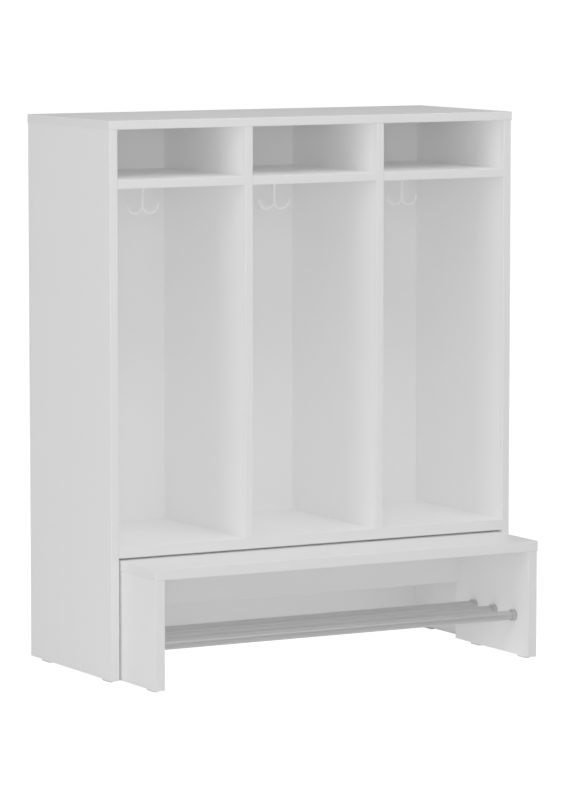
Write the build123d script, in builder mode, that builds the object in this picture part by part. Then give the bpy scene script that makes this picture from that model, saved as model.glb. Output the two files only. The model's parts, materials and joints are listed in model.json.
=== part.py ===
"""Children's cloakroom unit: a three-bay cabinet with a pull-out bench nested in its foot.

All sizes are in millimetres and +Z is up. X runs along the width and +Y runs towards the back. The
origin lies on the floor, in the middle of the footprint that the cabinet and the bench cover when
the bench stands seat_reach in front of the cabinet.
"""
import os

from build123d import *

os.makedirs("parts", exist_ok=True)

# ---------------------------------------------------------------- driving dimensions
# Boards and their edge bands
board = 18.0  # uprights, top panel, hat shelves and bench rail
heavy_board = 22.0  # bottom panel, bench seat and bench legs
back_board = 8.0
band = 2.0  # thickness of an edge band
band_flat = 0.2  # what the rounding leaves of the thickness
band_joint = 0.05  # glue joint where two bands meet at a corner

# Cabinet
BAY_NAMES = ("left", "middle", "right")
bay_width = 290.0  # clear width between two uprights
cabinet_depth = 374.0
upright_height = 1114.0
top_overhang = 1.2  # top panel beyond the side panels and the front
cubby_height = 101.0  # clear height above the hat shelves
niche_height = 254.5  # floor to the underside of the bottom panel
back_inset = 9.0  # back panel's rear face, in from the rear edges of the side panels
groove_depth = 8.0
groove_play = 0.2  # on each face of the back panel
groove_end_play = 0.5  # between the back panel's edges and the groove's floor
wall_hole_radius = 3.0
wall_hole_drop = 12.0  # wall holes below the hat shelves

# Bench
seat_reach = 150.0  # seat's front edge ahead of the cabinet's front edges
bench_side_gap = 5.0  # between each leg and the side panel beside it
bench_top_gap = 5.0  # between the seat and the bottom panel
seat_overhang = 1.2
leg_depth = 293.0
rail_height = 98.0

# Shoe rods
ROD_NAMES = ("front", "middle", "rear")
rod_radius = 10.0
rod_wall = 1.5
rod_first = 54.0  # first rod's axis behind the legs' front edges
rod_pitch = 79.0
rod_height = 87.5  # rod's axis above the floor
socket_wall = 2.05
socket_length = 10.0
socket_floor = 2.5
rod_play = 0.15  # around and at the end of a rod in its socket

# Coat hooks
hook_setback = 175.0  # stem behind the cabinet's front edges
hook_plate_length = 54.0
hook_plate_width = 20.0
hook_plate_thickness = 3.5
hook_plate_round = 1.2  # lower rim
hook_screw_reach = 18.0  # each screw from the stem
hook_stem_radius = 3.5
hook_arm_radius = 3.2
hook_bend_radius = 17.2  # centre line of each arm's half circle
hook_drop = 44.5  # hat shelf's underside down to the centres of the half circles

# Glides under the side panels and legs
glide_height = 5.0
glide_length = 38.0
glide_width = 12.0
glide_round = 1.5
glide_front_inset = 35.0  # glide's centre behind a board's front edge
cabinet_glide_rear_inset = 60.0
bench_glide_rear_inset = 70.0
glide_head_sink = 1.0  # screw head above the floor

# Fixings
fixing_inset = 45.0  # front and rear rows, in from the front edge and from the back panel
row_step = 32.0  # from a cam to the dowel beside it
dowel_radius = 4.0
dowel_length = 30.0
dowel_in_face = 12.0  # part of a dowel that stands in a board's face
through_dowel_end = 16.0  # part of a through dowel that stands in each hat shelf
play = 0.1  # around dowels, cams, bolts and screws
end_play = 1.0  # beyond the deep end of a dowel
cam_radius = 7.5
cam_past_bolt = 3.5  # a cam reaches this far past the axis of its bolt
cam_setback = 34.0  # cam's axis from the end of its board
bolt_thread_radius = 2.5
bolt_thread_length = 11.0
bolt_shank_radius = 3.0
bolt_neck_radius = 1.8
bolt_neck_length = 4.0
bolt_head_length = 3.0
divider_screw_length = 55.0
divider_screw_radius = 3.2
divider_screw_head = 5.5
panel_screw_length = 25.0
panel_screw_radius = 1.75
panel_screw_head = 3.6
short_screw_length = 16.0
short_screw_radius = 1.6
short_screw_head = 3.2
recess_width = 0.9
recess_depth = 1.0
recess_span = 1.2  # length of a screw's cross recess, in radii of its head

# ---------------------------------------------------------------- places worked out from them
bay_count = len(BAY_NAMES)
upright_count = bay_count + 1
band_round = band - band_flat
cabinet_width = upright_count * board + bay_count * bay_width
bay_pitch = bay_width + board
upright_left = [i * bay_pitch - cabinet_width / 2 for i in range(upright_count)]
upright_middle = [x + board / 2 for x in upright_left]
bay_middle = [x + board + bay_width / 2 for x in upright_left[:-1]]

front = (seat_reach - cabinet_depth) / 2  # plane of the cabinet's front edges
rear = front + cabinet_depth
inner_depth = cabinet_depth - back_inset - back_board
back_face = front + inner_depth  # front face of the back panel
front_row = front + fixing_inset
rear_row = back_face - fixing_inset
middle_row = front + inner_depth / 2

upright_top = glide_height + upright_height
shelf_top = upright_top - cubby_height
shelf_under = shelf_top - board
floor_top = niche_height + heavy_board  # bottom panel's upper face

leg_front = front - seat_reach + seat_overhang
leg_rear = leg_front + leg_depth
bench_width = cabinet_width - 2 * board - 2 * bench_side_gap  # over the legs
leg_inside = bench_width / 2 - heavy_board
seat_top = niche_height - bench_top_gap
seat_under = seat_top - heavy_board
rail_front = leg_rear - board
rail_under = seat_under - rail_height
rod_places = [
    (leg_front + rod_first + i * rod_pitch, rod_height) for i in range(len(ROD_NAMES))
]
socket_radius = rod_radius + rod_play + socket_wall

LOW = (Align.MIN, Align.MIN, Align.MIN)
FROM_MIDDLE = (Align.CENTER, Align.MIN, Align.MIN)
ON_POINT = (Align.CENTER, Align.CENTER, Align.MIN)
UP, DOWN = (0, 0, 1), (0, 0, -1)
RIGHT, LEFT = (1, 0, 0), (-1, 0, 0)
BACKWARD, FORWARD = (0, 1, 0), (0, -1, 0)


# ---------------------------------------------------------------- shared shapes
def save(piece, label):
    """Name a finished piece and write its file."""
    piece.label = label
    export_step(piece, f"parts/{label}.step")


def bars(points, direction, radius, length):
    """Round bars, or the drilled holes for them, that start at the points."""
    with BuildPart() as group:
        with Locations(*(Plane(point, z_dir=direction) for point in points)):
            Cylinder(radius, length, align=ON_POINT)
    return group.part


def screws(points, direction, head, shank, length, recess=True):
    """Countersunk screws, or their holes: flat heads at the points, with a cross recess in each."""
    with BuildPart() as group:
        with Locations(*(Plane(point, z_dir=direction) for point in points)):
            Cone(head, shank, head - shank, align=ON_POINT)
            Cylinder(shank, length, align=ON_POINT)
            if recess:
                span = recess_span * head
                Box(span, recess_width, recess_depth, align=ON_POINT, mode=Mode.SUBTRACT)
                Box(recess_width, span, recess_depth, align=ON_POINT, mode=Mode.SUBTRACT)
    return group.part


def cam_bolts(points, direction):
    """Bolts from a board's face, through the end of its neighbour, to the middle of a cam.

    Each point lies where the two boards meet; the thread runs back from it, into the face.
    """
    neck_start = cam_setback - bolt_head_length - bolt_neck_length
    head_start = cam_setback - bolt_head_length
    with BuildPart() as group:
        with Locations(*(Plane(point, z_dir=direction) for point in points)):
            Cylinder(bolt_neck_radius, cam_setback, align=ON_POINT)
            Cylinder(bolt_shank_radius, neck_start, align=ON_POINT)
            with Locations((0, 0, -bolt_thread_length)):
                Cylinder(bolt_thread_radius, 2 * bolt_thread_length, align=ON_POINT)
            with Locations((0, 0, head_start)):
                Cylinder(bolt_shank_radius, bolt_head_length, align=ON_POINT)
    return group.part


def bolt_holes(points, direction):
    """Pilot holes in the face, and wider holes from there to the middles of the cams."""
    with BuildPart() as group:
        with Locations(*(Plane(point, z_dir=direction) for point in points)):
            with Locations((0, 0, -bolt_thread_length - play)):
                Cylinder(bolt_thread_radius + play, 2 * bolt_thread_length, align=ON_POINT)
            Cylinder(bolt_shank_radius + play, cam_setback + play, align=ON_POINT)
    return group.part


def cams(points, direction, thickness, bolt_ends):
    """Cam discs in the face of a board, each with a mouth for its bolt and a cross recess."""
    with BuildPart() as group:
        with Locations(*(Plane(point, z_dir=direction) for point in points)):
            Cylinder(cam_radius, thickness / 2 + cam_past_bolt, align=ON_POINT)
            Box(cam_radius, recess_width, recess_depth, align=ON_POINT, mode=Mode.SUBTRACT)
            Box(recess_width, cam_radius, recess_depth, align=ON_POINT, mode=Mode.SUBTRACT)
        for points_of_bolts, bolt_direction in bolt_ends:
            add(bolt_holes(points_of_bolts, bolt_direction), mode=Mode.SUBTRACT)
    return group.part


def cam_pockets(points, direction, thickness):
    """Round pockets that the cams sit in."""
    return bars(points, direction, cam_radius + play, thickness / 2 + cam_past_bolt + play)


def strip(size, place, outward, all_round=False):
    """Strip of edge band from its lowest corner, with the long edges of its outer face rounded."""
    with BuildPart() as piece:
        with Locations(place):
            Box(*size, align=LOW)
        outer = piece.faces().sort_by(Axis((0, 0, 0), outward))[-1].edges()
        fillet(outer if all_round else outer.sort_by(SortBy.LENGTH)[-2:], band_round)
    return piece.part


def ring_of_bands(width, thickness, start, end, low, back=True):
    """Bands round a lying board centred on X = 0, from Y = start to end, with its underside at low.

    The front and back strips run the whole width, and the side strips stand between them.
    """
    side_start = start + band + band_joint
    side_end = end - band - band_joint if back else end
    side = (band, side_end - side_start, thickness)
    with BuildPart() as group:
        add(strip((width, band, thickness), (-width / 2, start, low), FORWARD, all_round=True))
        add(strip(side, (-width / 2, side_start, low), LEFT))
        add(strip(side, (width / 2 - band, side_start, low), RIGHT))
        if back:
            place = (-width / 2, end - band, low)
            add(strip((width, band, thickness), place, BACKWARD, all_round=True))
    return group.part


def glides(points):
    """Oblong glides with their middles at the points on the floor, rounded where they meet it."""
    with BuildPart() as group:
        with BuildSketch():
            with Locations(*points):
                SlotOverall(glide_length, glide_width, rotation=90)
        extrude(amount=glide_height)
        fillet(group.faces().group_by(Axis.Z)[0].edges(), glide_round)
        add(glide_screws(points, play, recess=False), mode=Mode.SUBTRACT)
    return group.part


def glide_screws(points, grow=0.0, recess=True):
    """Screws up through the glides, or the countersunk holes for them, down to the floor."""
    heads = [(x, y, glide_head_sink) for x, y in points]
    group = screws(heads, UP, short_screw_head + grow, short_screw_radius + grow,
                   short_screw_length + grow, recess)
    if grow:
        group += bars([(x, y, 0) for x, y in points], UP, short_screw_head + grow, glide_head_sink)
    return group


def coat_hook(x):
    """Double hook: an oblong plate, a stem, and two arms that each bend up in a half circle."""
    y = front + hook_setback
    bend_height = shelf_under - hook_drop
    with BuildPart() as hook:
        with BuildSketch(Plane.XY.offset(shelf_under - hook_plate_thickness)):
            with Locations((x, y)):
                SlotOverall(hook_plate_length, hook_plate_width)
        extrude(amount=hook_plate_thickness)
        lower_rim = hook.faces().sort_by(Axis.Z)[0].edges()
        fillet(lower_rim, hook_plate_round)
        with Locations((x, y, bend_height)):
            Cylinder(hook_stem_radius, hook_drop - hook_plate_thickness / 2, align=ON_POINT)
        for side in (-1, 1):
            with BuildLine(Plane.XZ.offset(-y)) as bend:
                CenterArc((x + side * hook_bend_radius, bend_height), hook_bend_radius, 180, 180)
            with BuildSketch(Plane(bend.line @ 0, z_dir=bend.line % 0)):
                Circle(hook_arm_radius)
            sweep(path=bend.line)
            with Locations((x + 2 * side * hook_bend_radius, y, bend_height)):
                Sphere(hook_arm_radius)
        add(hook_screws(x, play, recess=False), mode=Mode.SUBTRACT)
    return hook.part


def hook_screws(x, grow=0.0, recess=True):
    """Two screws up through a hook's plate into the hat shelf, or the holes for them."""
    low = shelf_under - hook_plate_thickness
    heads = [(x + side * hook_screw_reach, front + hook_setback, low) for side in (-1, 1)]
    return screws(heads, UP, short_screw_head + grow, short_screw_radius + grow,
                  short_screw_length + grow, recess)


# ---------------------------------------------------------------- rows of fixings
top_dowel_points = [
    (x, y, upright_top - dowel_length + dowel_in_face)
    for x in upright_middle
    for y in (front_row, middle_row, rear_row)
]
shelf_mid = (shelf_under + shelf_top) / 2
shelf_rows = [(y, shelf_mid) for y in (front_row, rear_row)]
niche_mid = niche_height + heavy_board / 2
bottom_bolt_rows = [(y, niche_mid) for y in (front_row, rear_row)]
bottom_dowel_rows = [(y, niche_mid) for y in (front_row + row_step, rear_row - row_step)]
left_inside = upright_left[0] + board
right_inside = upright_left[-1]
divider_screw_points = [
    (x, y, niche_height) for x in upright_middle[1:-1] for y in (front_row, middle_row, rear_row)
]
wall_hole_points = [
    (x, back_face, shelf_under - wall_hole_drop) for x in (bay_middle[0], bay_middle[-1])
]
panel_screw_spots = [
    *((x + side * bay_width / 3, niche_mid) for x in bay_middle for side in (-1, 1)),
    *((x, shelf_mid) for x in bay_middle),
    *((x, floor_top + step * (shelf_under - floor_top) / 3)
      for x in upright_middle[1:-1] for step in (1, 2)),
]
panel_screw_points = [(x, back_face + back_board, z) for x, z in panel_screw_spots]
cabinet_glide_points = [
    (x, y)
    for x in (upright_middle[0], upright_middle[-1])
    for y in (front + glide_front_inset, rear - cabinet_glide_rear_inset)
]
panel_screw_holes = screws(panel_screw_points, FORWARD, panel_screw_head + play,
                           panel_screw_radius + play, panel_screw_length + play, recess=False)
cabinet_screw_holes = glide_screws(cabinet_glide_points, play, recess=False)

# ---------------------------------------------------------------- cabinet boards
core_front = front + band  # the boards' own front edges, behind their bands
core_depth = inner_depth - band

# Uprights: the two side panels run from the glides to the top panel, and the two dividers stand
# on the bottom panel. All of them carry dowels for the top panel and the hat shelves.
top_dowel_holes = bars(
    [(x, y, z - end_play) for x, y, z in top_dowel_points], UP, dowel_radius + play,
    dowel_length + end_play,
)
for name, x, inside, inward in (
    ("left_side_panel", upright_left[0], left_inside, LEFT),
    ("right_side_panel", upright_left[-1], right_inside, RIGHT),
):
    with BuildPart() as side_panel:
        with Locations((x, core_front, glide_height)):
            Box(board, cabinet_depth - band, upright_height, align=LOW)
        groove_left = inside - groove_depth if inward == LEFT else inside
        with Locations((groove_left, back_face - groove_play, glide_height)):
            Box(groove_depth, back_board + 2 * groove_play, upright_height, align=LOW,
                mode=Mode.SUBTRACT)
        add(top_dowel_holes, mode=Mode.SUBTRACT)
        points = [(inside, y, z) for y, z in shelf_rows + bottom_dowel_rows]
        add(bars(points, inward, dowel_radius + play, dowel_in_face), mode=Mode.SUBTRACT)
        outward = LEFT if inward == RIGHT else RIGHT
        points = [(inside, y, z) for y, z in bottom_bolt_rows]
        add(bolt_holes(points, outward), mode=Mode.SUBTRACT)
        add(cabinet_screw_holes, mode=Mode.SUBTRACT)
    save(side_panel.part, name)
    band_name = name.replace("panel", "edge_band")
    place = (x, front, glide_height)
    save(strip((board, band, upright_height), place, FORWARD), band_name)

divider_height = upright_top - floor_top
for name, x in zip(("left_divider", "right_divider"), upright_left[1:-1]):
    with BuildPart() as divider:
        with Locations((x, core_front, floor_top)):
            Box(board, core_depth, divider_height, align=LOW)
        add(top_dowel_holes, mode=Mode.SUBTRACT)
        points = [(x, y, z) for y, z in shelf_rows]
        add(bars(points, RIGHT, dowel_radius + play, board), mode=Mode.SUBTRACT)
        add(bars(divider_screw_points, UP, divider_screw_radius + play,
                 divider_screw_length + play), mode=Mode.SUBTRACT)
        add(panel_screw_holes, mode=Mode.SUBTRACT)
    save(divider.part, name)
    save(strip((board, band, divider_height), (x, front, floor_top), FORWARD),
         f"{name}_edge_band")

# Hat shelves: one short board in each bay, its ends doweled to the uprights beside it.
shelf_bands = []
for index, (name, x) in enumerate(zip(BAY_NAMES, bay_middle)):
    left_end, right_end = x - bay_width / 2, x + bay_width / 2
    end_depths = (
        dowel_length - dowel_in_face if index == 0 else through_dowel_end,
        dowel_length - dowel_in_face if index == bay_count - 1 else through_dowel_end,
    )
    with BuildPart() as hat_shelf:
        with Locations((x, core_front, shelf_under)):
            Box(bay_width, core_depth, board, align=FROM_MIDDLE)
        for end, inward, depth in zip((left_end, right_end), (RIGHT, LEFT), end_depths):
            points = [(end, y, z) for y, z in shelf_rows]
            add(bars(points, inward, dowel_radius + play, depth + end_play), mode=Mode.SUBTRACT)
        add(hook_screws(x, play, recess=False), mode=Mode.SUBTRACT)
        add(panel_screw_holes, mode=Mode.SUBTRACT)
    save(hat_shelf.part, f"{name}_hat_shelf")
    shelf_bands.append(strip((bay_width, band, board), (left_end, front, shelf_under), FORWARD))
with BuildPart() as hat_shelf_edge_bands:
    for piece in shelf_bands:
        add(piece)
save(hat_shelf_edge_bands.part, "hat_shelf_edge_bands")

# Top panel: laid over the uprights, level with them at the back, banded in front and at both ends.
top_width = cabinet_width + 2 * top_overhang
top_front = front - top_overhang
with BuildPart() as top_panel:
    with Locations((0, top_front + band, upright_top)):
        Box(top_width - 2 * band, rear - top_front - band, board, align=FROM_MIDDLE)
    with Locations((0, back_face - groove_play, upright_top)):
        Box(cabinet_width - 2 * board + 2 * groove_depth, back_board + 2 * groove_play,
            groove_depth, align=FROM_MIDDLE, mode=Mode.SUBTRACT)
    add(bars(top_dowel_points, UP, dowel_radius + play, dowel_length), mode=Mode.SUBTRACT)
save(top_panel.part, "top_panel")
save(ring_of_bands(top_width, board, top_front, rear, upright_top, back=False),
     "top_panel_edge_bands")

# Bottom panel: one board between the side panels, held by cams and dowels, with the dividers
# screwed on from below.
bottom_width = cabinet_width - 2 * board
cam_points = [
    (side * (bottom_width / 2 - cam_setback), y, niche_height)
    for side in (-1, 1)
    for y, _ in bottom_bolt_rows
]
left_bolt_points = [(left_inside, y, z) for y, z in bottom_bolt_rows]
right_bolt_points = [(right_inside, y, z) for y, z in bottom_bolt_rows]
with BuildPart() as bottom_panel:
    with Locations((0, core_front, niche_height)):
        Box(bottom_width, core_depth, heavy_board, align=FROM_MIDDLE)
    add(cam_pockets(cam_points, UP, heavy_board), mode=Mode.SUBTRACT)
    add(bolt_holes(left_bolt_points, RIGHT), mode=Mode.SUBTRACT)
    add(bolt_holes(right_bolt_points, LEFT), mode=Mode.SUBTRACT)
    for inside, inward in ((left_inside, RIGHT), (right_inside, LEFT)):
        points = [(inside, y, z) for y, z in bottom_dowel_rows]
        depth = dowel_length - dowel_in_face + end_play
        add(bars(points, inward, dowel_radius + play, depth), mode=Mode.SUBTRACT)
    add(screws(divider_screw_points, UP, divider_screw_head + play, divider_screw_radius + play,
               heavy_board, recess=False), mode=Mode.SUBTRACT)
    add(panel_screw_holes, mode=Mode.SUBTRACT)
save(bottom_panel.part, "bottom_panel")
save(strip((bottom_width, band, heavy_board), (-bottom_width / 2, front, niche_height), FORWARD),
     "bottom_panel_edge_band")

# Back panel: a thin board in grooves in the side panels and the top panel, down to the level of
# the side panels' lower ends, screwed to the boards in front of it.
back_width = bottom_width + 2 * (groove_depth - groove_end_play)
back_height = upright_height + groove_depth - groove_end_play
with BuildPart() as back_panel:
    with Locations((0, back_face, glide_height)):
        Box(back_width, back_board, back_height, align=FROM_MIDDLE)
    add(panel_screw_holes, mode=Mode.SUBTRACT)
    add(bars(wall_hole_points, BACKWARD, wall_hole_radius, back_board), mode=Mode.SUBTRACT)
save(back_panel.part, "back_panel")

# ---------------------------------------------------------------- cabinet hooks and fixings
for name, x in zip(BAY_NAMES, bay_middle):
    save(coat_hook(x), f"{name}_coat_hook")
with BuildPart() as coat_hook_screws:
    for x in bay_middle:
        add(hook_screws(x))
save(coat_hook_screws.part, "coat_hook_screws")

with BuildPart() as carcass_dowels:
    add(bars(top_dowel_points, UP, dowel_radius, dowel_length))
    for inside, outward in ((left_inside, LEFT), (right_inside, RIGHT)):
        inner_end = inside - outward[0] * (dowel_length - dowel_in_face)
        points = [(inner_end, y, z) for y, z in shelf_rows + bottom_dowel_rows]
        add(bars(points, outward, dowel_radius, dowel_length))
save(carcass_dowels.part, "carcass_dowels")

through_length = board + 2 * through_dowel_end
with BuildPart() as through_dowels:
    for x in upright_left[1:-1]:
        points = [(x - through_dowel_end, y, z) for y, z in shelf_rows]
        add(bars(points, RIGHT, dowel_radius, through_length))
save(through_dowels.part, "hat_shelf_through_dowels")

with BuildPart() as bottom_panel_cam_bolts:
    add(cam_bolts(left_bolt_points, RIGHT))
    add(cam_bolts(right_bolt_points, LEFT))
save(bottom_panel_cam_bolts.part, "bottom_panel_cam_bolts")
bolt_ends = ((left_bolt_points, RIGHT), (right_bolt_points, LEFT))
save(cams(cam_points, UP, heavy_board, bolt_ends), "bottom_panel_cams")
save(screws(divider_screw_points, UP, divider_screw_head, divider_screw_radius,
            divider_screw_length), "divider_screws")
save(screws(panel_screw_points, FORWARD, panel_screw_head, panel_screw_radius,
            panel_screw_length), "back_panel_screws")
save(glides(cabinet_glide_points), "cabinet_glides")
save(glide_screws(cabinet_glide_points), "cabinet_glide_screws")

# ---------------------------------------------------------------- bench
bench_front_row = leg_front + fixing_inset
bench_rear_row = rail_front - fixing_inset
bench_middle_row = (bench_front_row + bench_rear_row) / 2
leg_middle = bench_width / 2 - heavy_board / 2
rail_length = 2 * leg_inside
rail_middle = rail_front + board / 2
leg_height = seat_under - glide_height
seat_dowel_points = [
    (side * leg_middle, y, seat_under - dowel_length + dowel_in_face)
    for side in (-1, 1)
    for y in (bench_front_row, bench_middle_row, bench_rear_row)
]
rail_quarter = rail_length / 4
rail_dowel_points = [
    (side * (rail_quarter + row_step), rail_middle, seat_under - dowel_length + dowel_in_face)
    for side in (-1, 1)
]
end_dowel_height = rail_under + rail_height / 4
end_bolt_height = rail_under + rail_height / 2
seat_bolt_points = [(side * rail_quarter, rail_middle, seat_under) for side in (-1, 1)]
end_bolts = [((side * leg_inside, rail_middle, end_bolt_height), LEFT if side > 0 else RIGHT)
             for side in (-1, 1)]
rail_cam_points = [
    *((x, leg_rear, seat_under - cam_setback) for x, _, _ in seat_bolt_points),
    *((side * (leg_inside - cam_setback), leg_rear, end_bolt_height) for side in (-1, 1)),
]
bench_glide_points = [
    (side * leg_middle, y)
    for side in (-1, 1)
    for y in (leg_front + glide_front_inset, leg_rear - bench_glide_rear_inset)
]
socket_screw_points = [
    (side * (leg_inside - socket_floor), y, z) for side in (-1, 1) for y, z in rod_places
]
bench_screw_holes = glide_screws(bench_glide_points, play, recess=False)


def rod_sockets():
    """Cups screwed to the legs' inner faces, open towards the middle, that hold the rods' ends."""
    with BuildPart() as group:
        for side in (-1, 1):
            inward = LEFT if side > 0 else RIGHT
            feet = [(side * leg_inside, y, z) for y, z in rod_places]
            mouths = [(side * (leg_inside - socket_floor), y, z) for y, z in rod_places]
            add(bars(feet, inward, socket_radius, socket_length))
            add(bars(mouths, inward, rod_radius + rod_play, socket_length), mode=Mode.SUBTRACT)
            add(socket_screws(side, play, recess=False), mode=Mode.SUBTRACT)
    return group.part


def socket_screws(side, grow=0.0, recess=True):
    """Screws from the sockets' floors into one leg, or the holes for them."""
    points = [point for point in socket_screw_points if point[0] * side > 0]
    return screws(points, RIGHT if side > 0 else LEFT, short_screw_head + grow,
                  short_screw_radius + grow, short_screw_length + grow, recess)


for side, name in ((-1, "left"), (1, "right")):
    with BuildPart() as leg:
        with Locations((side * leg_middle, leg_front + band, glide_height)):
            Box(heavy_board, leg_depth - 2 * band, leg_height, align=FROM_MIDDLE)
        points = [(x, y, z - end_play) for x, y, z in seat_dowel_points]
        add(bars(points, UP, dowel_radius + play, dowel_length), mode=Mode.SUBTRACT)
        outward = RIGHT if side > 0 else LEFT
        point = (side * leg_inside, rail_middle, end_dowel_height)
        add(bars([point], outward, dowel_radius + play, dowel_in_face), mode=Mode.SUBTRACT)
        for point, inward in end_bolts:
            add(bolt_holes([point], inward), mode=Mode.SUBTRACT)
        add(socket_screws(side, play, recess=False), mode=Mode.SUBTRACT)
        add(bench_screw_holes, mode=Mode.SUBTRACT)
    save(leg.part, f"bench_{name}_leg")
    corner_x = side * leg_middle - heavy_board / 2
    size = (heavy_board, band, leg_height)
    with BuildPart() as leg_bands:
        add(strip(size, (corner_x, leg_front, glide_height), FORWARD))
        add(strip(size, (corner_x, leg_rear - band, glide_height), BACKWARD))
    save(leg_bands.part, f"bench_{name}_leg_edge_bands")

seat_width = bench_width + 2 * seat_overhang
seat_front = leg_front - seat_overhang
with BuildPart() as bench_seat:
    with Locations((0, seat_front + band, seat_under)):
        Box(seat_width - 2 * band, leg_rear - seat_front - 2 * band, heavy_board,
            align=FROM_MIDDLE)
    add(bars(seat_dowel_points + rail_dowel_points, UP, dowel_radius + play, dowel_length),
        mode=Mode.SUBTRACT)
    add(bolt_holes(seat_bolt_points, DOWN), mode=Mode.SUBTRACT)
save(bench_seat.part, "bench_seat")
save(ring_of_bands(seat_width, heavy_board, seat_front, leg_rear, seat_under),
     "bench_seat_edge_bands")

# Rail: it stands between the legs under the seat's back edge, and its cams face backwards.
with BuildPart() as bench_rail:
    with Locations((0, rail_front, rail_under + band)):
        Box(rail_length, board, rail_height - band, align=FROM_MIDDLE)
    points = [(x, y, z - end_play) for x, y, z in rail_dowel_points]
    add(bars(points, UP, dowel_radius + play, dowel_length), mode=Mode.SUBTRACT)
    for side, inward in ((-1, RIGHT), (1, LEFT)):
        point = (side * leg_inside, rail_middle, end_dowel_height)
        depth = dowel_length - dowel_in_face + end_play
        add(bars([point], inward, dowel_radius + play, depth), mode=Mode.SUBTRACT)
    add(cam_pockets(rail_cam_points, FORWARD, board), mode=Mode.SUBTRACT)
    add(bolt_holes(seat_bolt_points, DOWN), mode=Mode.SUBTRACT)
    for point, inward in end_bolts:
        add(bolt_holes([point], inward), mode=Mode.SUBTRACT)
save(bench_rail.part, "bench_rear_rail")
save(strip((rail_length, board, band), (-leg_inside, rail_front, rail_under), DOWN),
     "bench_rail_edge_band")

# Shoe rods: three tubes from leg to leg, each end in a socket.
rod_length = rail_length - 2 * socket_floor - 2 * rod_play
for name, place in zip(ROD_NAMES, rod_places):
    with BuildPart() as rod:
        start = [(-rod_length / 2, *place)]
        add(bars(start, RIGHT, rod_radius, rod_length))
        add(bars(start, RIGHT, rod_radius - rod_wall, rod_length), mode=Mode.SUBTRACT)
    save(rod.part, f"{name}_shoe_rod")
save(rod_sockets(), "rod_sockets")
with BuildPart() as rod_socket_screws:
    add(socket_screws(-1))
    add(socket_screws(1))
save(rod_socket_screws.part, "rod_socket_screws")

with BuildPart() as bench_dowels:
    add(bars(seat_dowel_points + rail_dowel_points, UP, dowel_radius, dowel_length))
    for side, outward in ((-1, LEFT), (1, RIGHT)):
        inner_end = side * (leg_inside - dowel_length + dowel_in_face)
        add(bars([(inner_end, rail_middle, end_dowel_height)], outward, dowel_radius,
                 dowel_length))
save(bench_dowels.part, "bench_dowels")
with BuildPart() as bench_cam_bolts:
    add(cam_bolts(seat_bolt_points, DOWN))
    for point, inward in end_bolts:
        add(cam_bolts([point], inward))
save(bench_cam_bolts.part, "bench_cam_bolts")
bolt_ends = ((seat_bolt_points, DOWN), *(([point], inward) for point, inward in end_bolts))
save(cams(rail_cam_points, FORWARD, board, bolt_ends), "bench_cams")
save(glides(bench_glide_points), "bench_glides")
save(glide_screws(bench_glide_points), "bench_glide_screws")
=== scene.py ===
"""Studio set-up of a three-place cloakroom cabinet with a pull-out bench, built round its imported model.

All lengths are in metres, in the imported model's own frame: +Z is up, X runs along the width and +Y
towards the back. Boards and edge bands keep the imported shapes; hooks, rods, sockets, glides and
fixings are made here as finer surfaces in the same places.
"""
import json
import math

import bpy
import numpy as np
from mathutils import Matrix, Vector


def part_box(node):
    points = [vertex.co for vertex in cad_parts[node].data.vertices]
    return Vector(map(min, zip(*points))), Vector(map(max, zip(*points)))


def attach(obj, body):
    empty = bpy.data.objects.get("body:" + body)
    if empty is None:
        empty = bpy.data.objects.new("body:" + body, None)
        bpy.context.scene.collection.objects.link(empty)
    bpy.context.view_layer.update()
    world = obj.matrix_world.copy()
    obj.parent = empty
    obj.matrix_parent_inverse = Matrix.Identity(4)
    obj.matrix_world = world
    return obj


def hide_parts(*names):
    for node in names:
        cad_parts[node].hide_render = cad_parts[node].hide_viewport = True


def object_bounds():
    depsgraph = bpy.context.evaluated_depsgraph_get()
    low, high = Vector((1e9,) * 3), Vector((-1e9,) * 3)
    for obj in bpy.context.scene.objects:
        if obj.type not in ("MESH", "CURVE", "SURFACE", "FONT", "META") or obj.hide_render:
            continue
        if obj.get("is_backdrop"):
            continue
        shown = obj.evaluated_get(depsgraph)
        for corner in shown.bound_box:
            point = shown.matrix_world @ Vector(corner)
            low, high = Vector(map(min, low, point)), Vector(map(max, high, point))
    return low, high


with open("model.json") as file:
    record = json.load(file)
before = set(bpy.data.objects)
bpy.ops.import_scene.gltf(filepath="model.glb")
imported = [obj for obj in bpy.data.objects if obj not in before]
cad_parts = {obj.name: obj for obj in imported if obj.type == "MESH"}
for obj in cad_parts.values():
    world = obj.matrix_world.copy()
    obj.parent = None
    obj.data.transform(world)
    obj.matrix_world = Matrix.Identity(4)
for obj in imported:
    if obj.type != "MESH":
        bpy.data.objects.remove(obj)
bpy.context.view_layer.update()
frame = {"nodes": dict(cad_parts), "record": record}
record = frame["record"]
MM = 0.001
UP = np.array((0.0, 0.0, 1.0))
FORWARD = np.array((0.0, -1.0, 0.0))
BACKWARD = np.array((0.0, 1.0, 0.0))
RIGHT = np.array((1.0, 0.0, 0.0))
body_of = {n: body for body, members in record["behaviour"]["bodies"].items() for n in members}
slot_of = {part["node"]: part["material_slot"] for part in record["subparts"]}


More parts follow.
